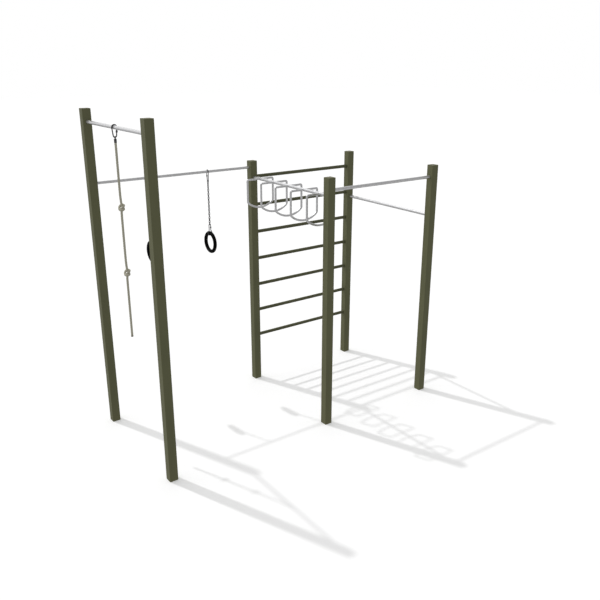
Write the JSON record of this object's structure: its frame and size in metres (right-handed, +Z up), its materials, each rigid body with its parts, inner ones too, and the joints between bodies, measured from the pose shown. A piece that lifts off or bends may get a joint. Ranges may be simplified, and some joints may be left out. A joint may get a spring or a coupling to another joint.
{
  "type": "outdoor monkey bars",
  "caption": "Free-standing outdoor exercise frame of square posts and round bars, with a wall ladder, a row of D-shaped hand grips, a knotted climbing rope and gym rings on chains.",
  "frame": {"origin": "on the ground, at the bottom centre of the object's bounding box without the rope", "axes": "+Z up; +X along the long side, from the two tall rope posts to the ladder end; +Y from the front row of posts to the back row, where the rings and the ladder are"},
  "size_m": [3.127, 1.4782, 3.1],
  "materials": {
    "green_paint": "satin powder coat, olive green",
    "galvanised_steel": "dull galvanised, light grey",
    "dark_zinc": "dull grey zinc plating, weathered",
    "black_rubber": "matt black",
    "rope": "twisted grey-beige rope",
    "rope_seal": "dark heat-sealed rope end"
  },
  "bodies": {
    "frame": {"post_rope_back": "green_paint", "cap_rope_back": "green_paint", "foot_plate_rope_back": "galvanised_steel", "post_rope_front": "green_paint", "cap_rope_front": "green_paint", "foot_plate_rope_front": "galvanised_steel", "post_middle_back": "green_paint", "cap_middle_back": "green_paint", "foot_plate_middle_back": "galvanised_steel", "post_middle_front": "green_paint", "cap_middle_front": "green_paint", "foot_plate_middle_front": "galvanised_steel", "post_end_back": "green_paint", "cap_end_back": "green_paint", "foot_plate_end_back": "galvanised_steel", "post_end_front": "green_paint", "cap_end_front": "green_paint", "foot_plate_end_front": "galvanised_steel", "rope_beam": "galvanised_steel", "ring_beam": "galvanised_steel", "grip_spine": "galvanised_steel", "pullup_bar_front": "galvanised_steel", "pullup_bar_end": "galvanised_steel", "ladder_rung_1": "green_paint", "ladder_rung_2": "green_paint", "ladder_rung_3": "green_paint", "ladder_rung_4": "green_paint", "ladder_rung_5": "green_paint", "ladder_rung_6": "green_paint", "ladder_rung_7": "green_paint", "hand_grip_1": "galvanised_steel", "hand_grip_2": "galvanised_steel", "hand_grip_3": "galvanised_steel", "hand_grip_4": "galvanised_steel", "hand_grip_5": "galvanised_steel"},
    "rope_hanger": {"rope_link": "dark_zinc", "rope_link_nut": "dark_zinc"},
    "rope": {"rope_eye": "dark_zinc", "rope_ferrule": "dark_zinc", "climbing_rope": "rope", "rope_knot_upper": "rope", "rope_knot_lower": "rope", "rope_end_cap": "rope_seal"},
    "left_ring_link": {"ring_link_left": "dark_zinc", "ring_link_nut_left": "dark_zinc"},
    "left_chain": {"ring_chain_left": "dark_zinc", "ring_hanger_left": "dark_zinc", "ring_hanger_nut_left": "dark_zinc"},
    "left_ring": {"gym_ring_left": "black_rubber"},
    "right_ring_link": {"ring_link_right": "dark_zinc", "ring_link_nut_right": "dark_zinc"},
    "right_chain": {"ring_chain_right": "dark_zinc", "ring_hanger_right": "dark_zinc", "ring_hanger_nut_right": "dark_zinc"},
    "right_ring": {"gym_ring_right": "black_rubber"}
  },
  "joints": [
    {"name": "rope_swing", "type": "hinge", "parent": "frame", "child": "rope_hanger", "pos_m": [-1.5235, -0.03875, 2.985], "axis": [0, 1, 0], "range_deg": [-45, 45]},
    {"name": "rope_sway", "type": "hinge", "parent": "rope_hanger", "child": "rope", "pos_m": [-1.5235, -0.03875, 2.905], "axis": [1, 0, 0], "range_deg": [-15, 15]},
    {"name": "left_ring_swing", "type": "hinge", "parent": "frame", "child": "left_ring_link", "pos_m": [-0.9825, 0.62225, 2.433], "axis": [1, 0, 0], "range_deg": [-45, 45]},
    {"name": "left_ring_sway", "type": "hinge", "parent": "left_ring_link", "child": "left_chain", "pos_m": [-0.9825, 0.62225, 2.334], "axis": [0, 1, 0], "range_deg": [-15, 30]},
    {"name": "left_ring_tilt", "type": "hinge", "parent": "left_chain", "child": "left_ring", "pos_m": [-0.9825, 0.62225, 1.797], "axis": [0, 1, 0], "range_deg": [-30, 30]},
    {"name": "right_ring_swing", "type": "hinge", "parent": "frame", "child": "right_ring_link", "pos_m": [-0.3307, 0.62225, 2.433], "axis": [1, 0, 0], "range_deg": [-45, 45]},
    {"name": "right_ring_sway", "type": "hinge", "parent": "right_ring_link", "child": "right_chain", "pos_m": [-0.3307, 0.62225, 2.334], "axis": [0, 1, 0], "range_deg": [-30, 15]},
    {"name": "right_ring_tilt", "type": "hinge", "parent": "right_chain", "child": "right_ring", "pos_m": [-0.3307, 0.62225, 1.797], "axis": [0, 1, 0], "range_deg": [-30, 30]}
  ]
}
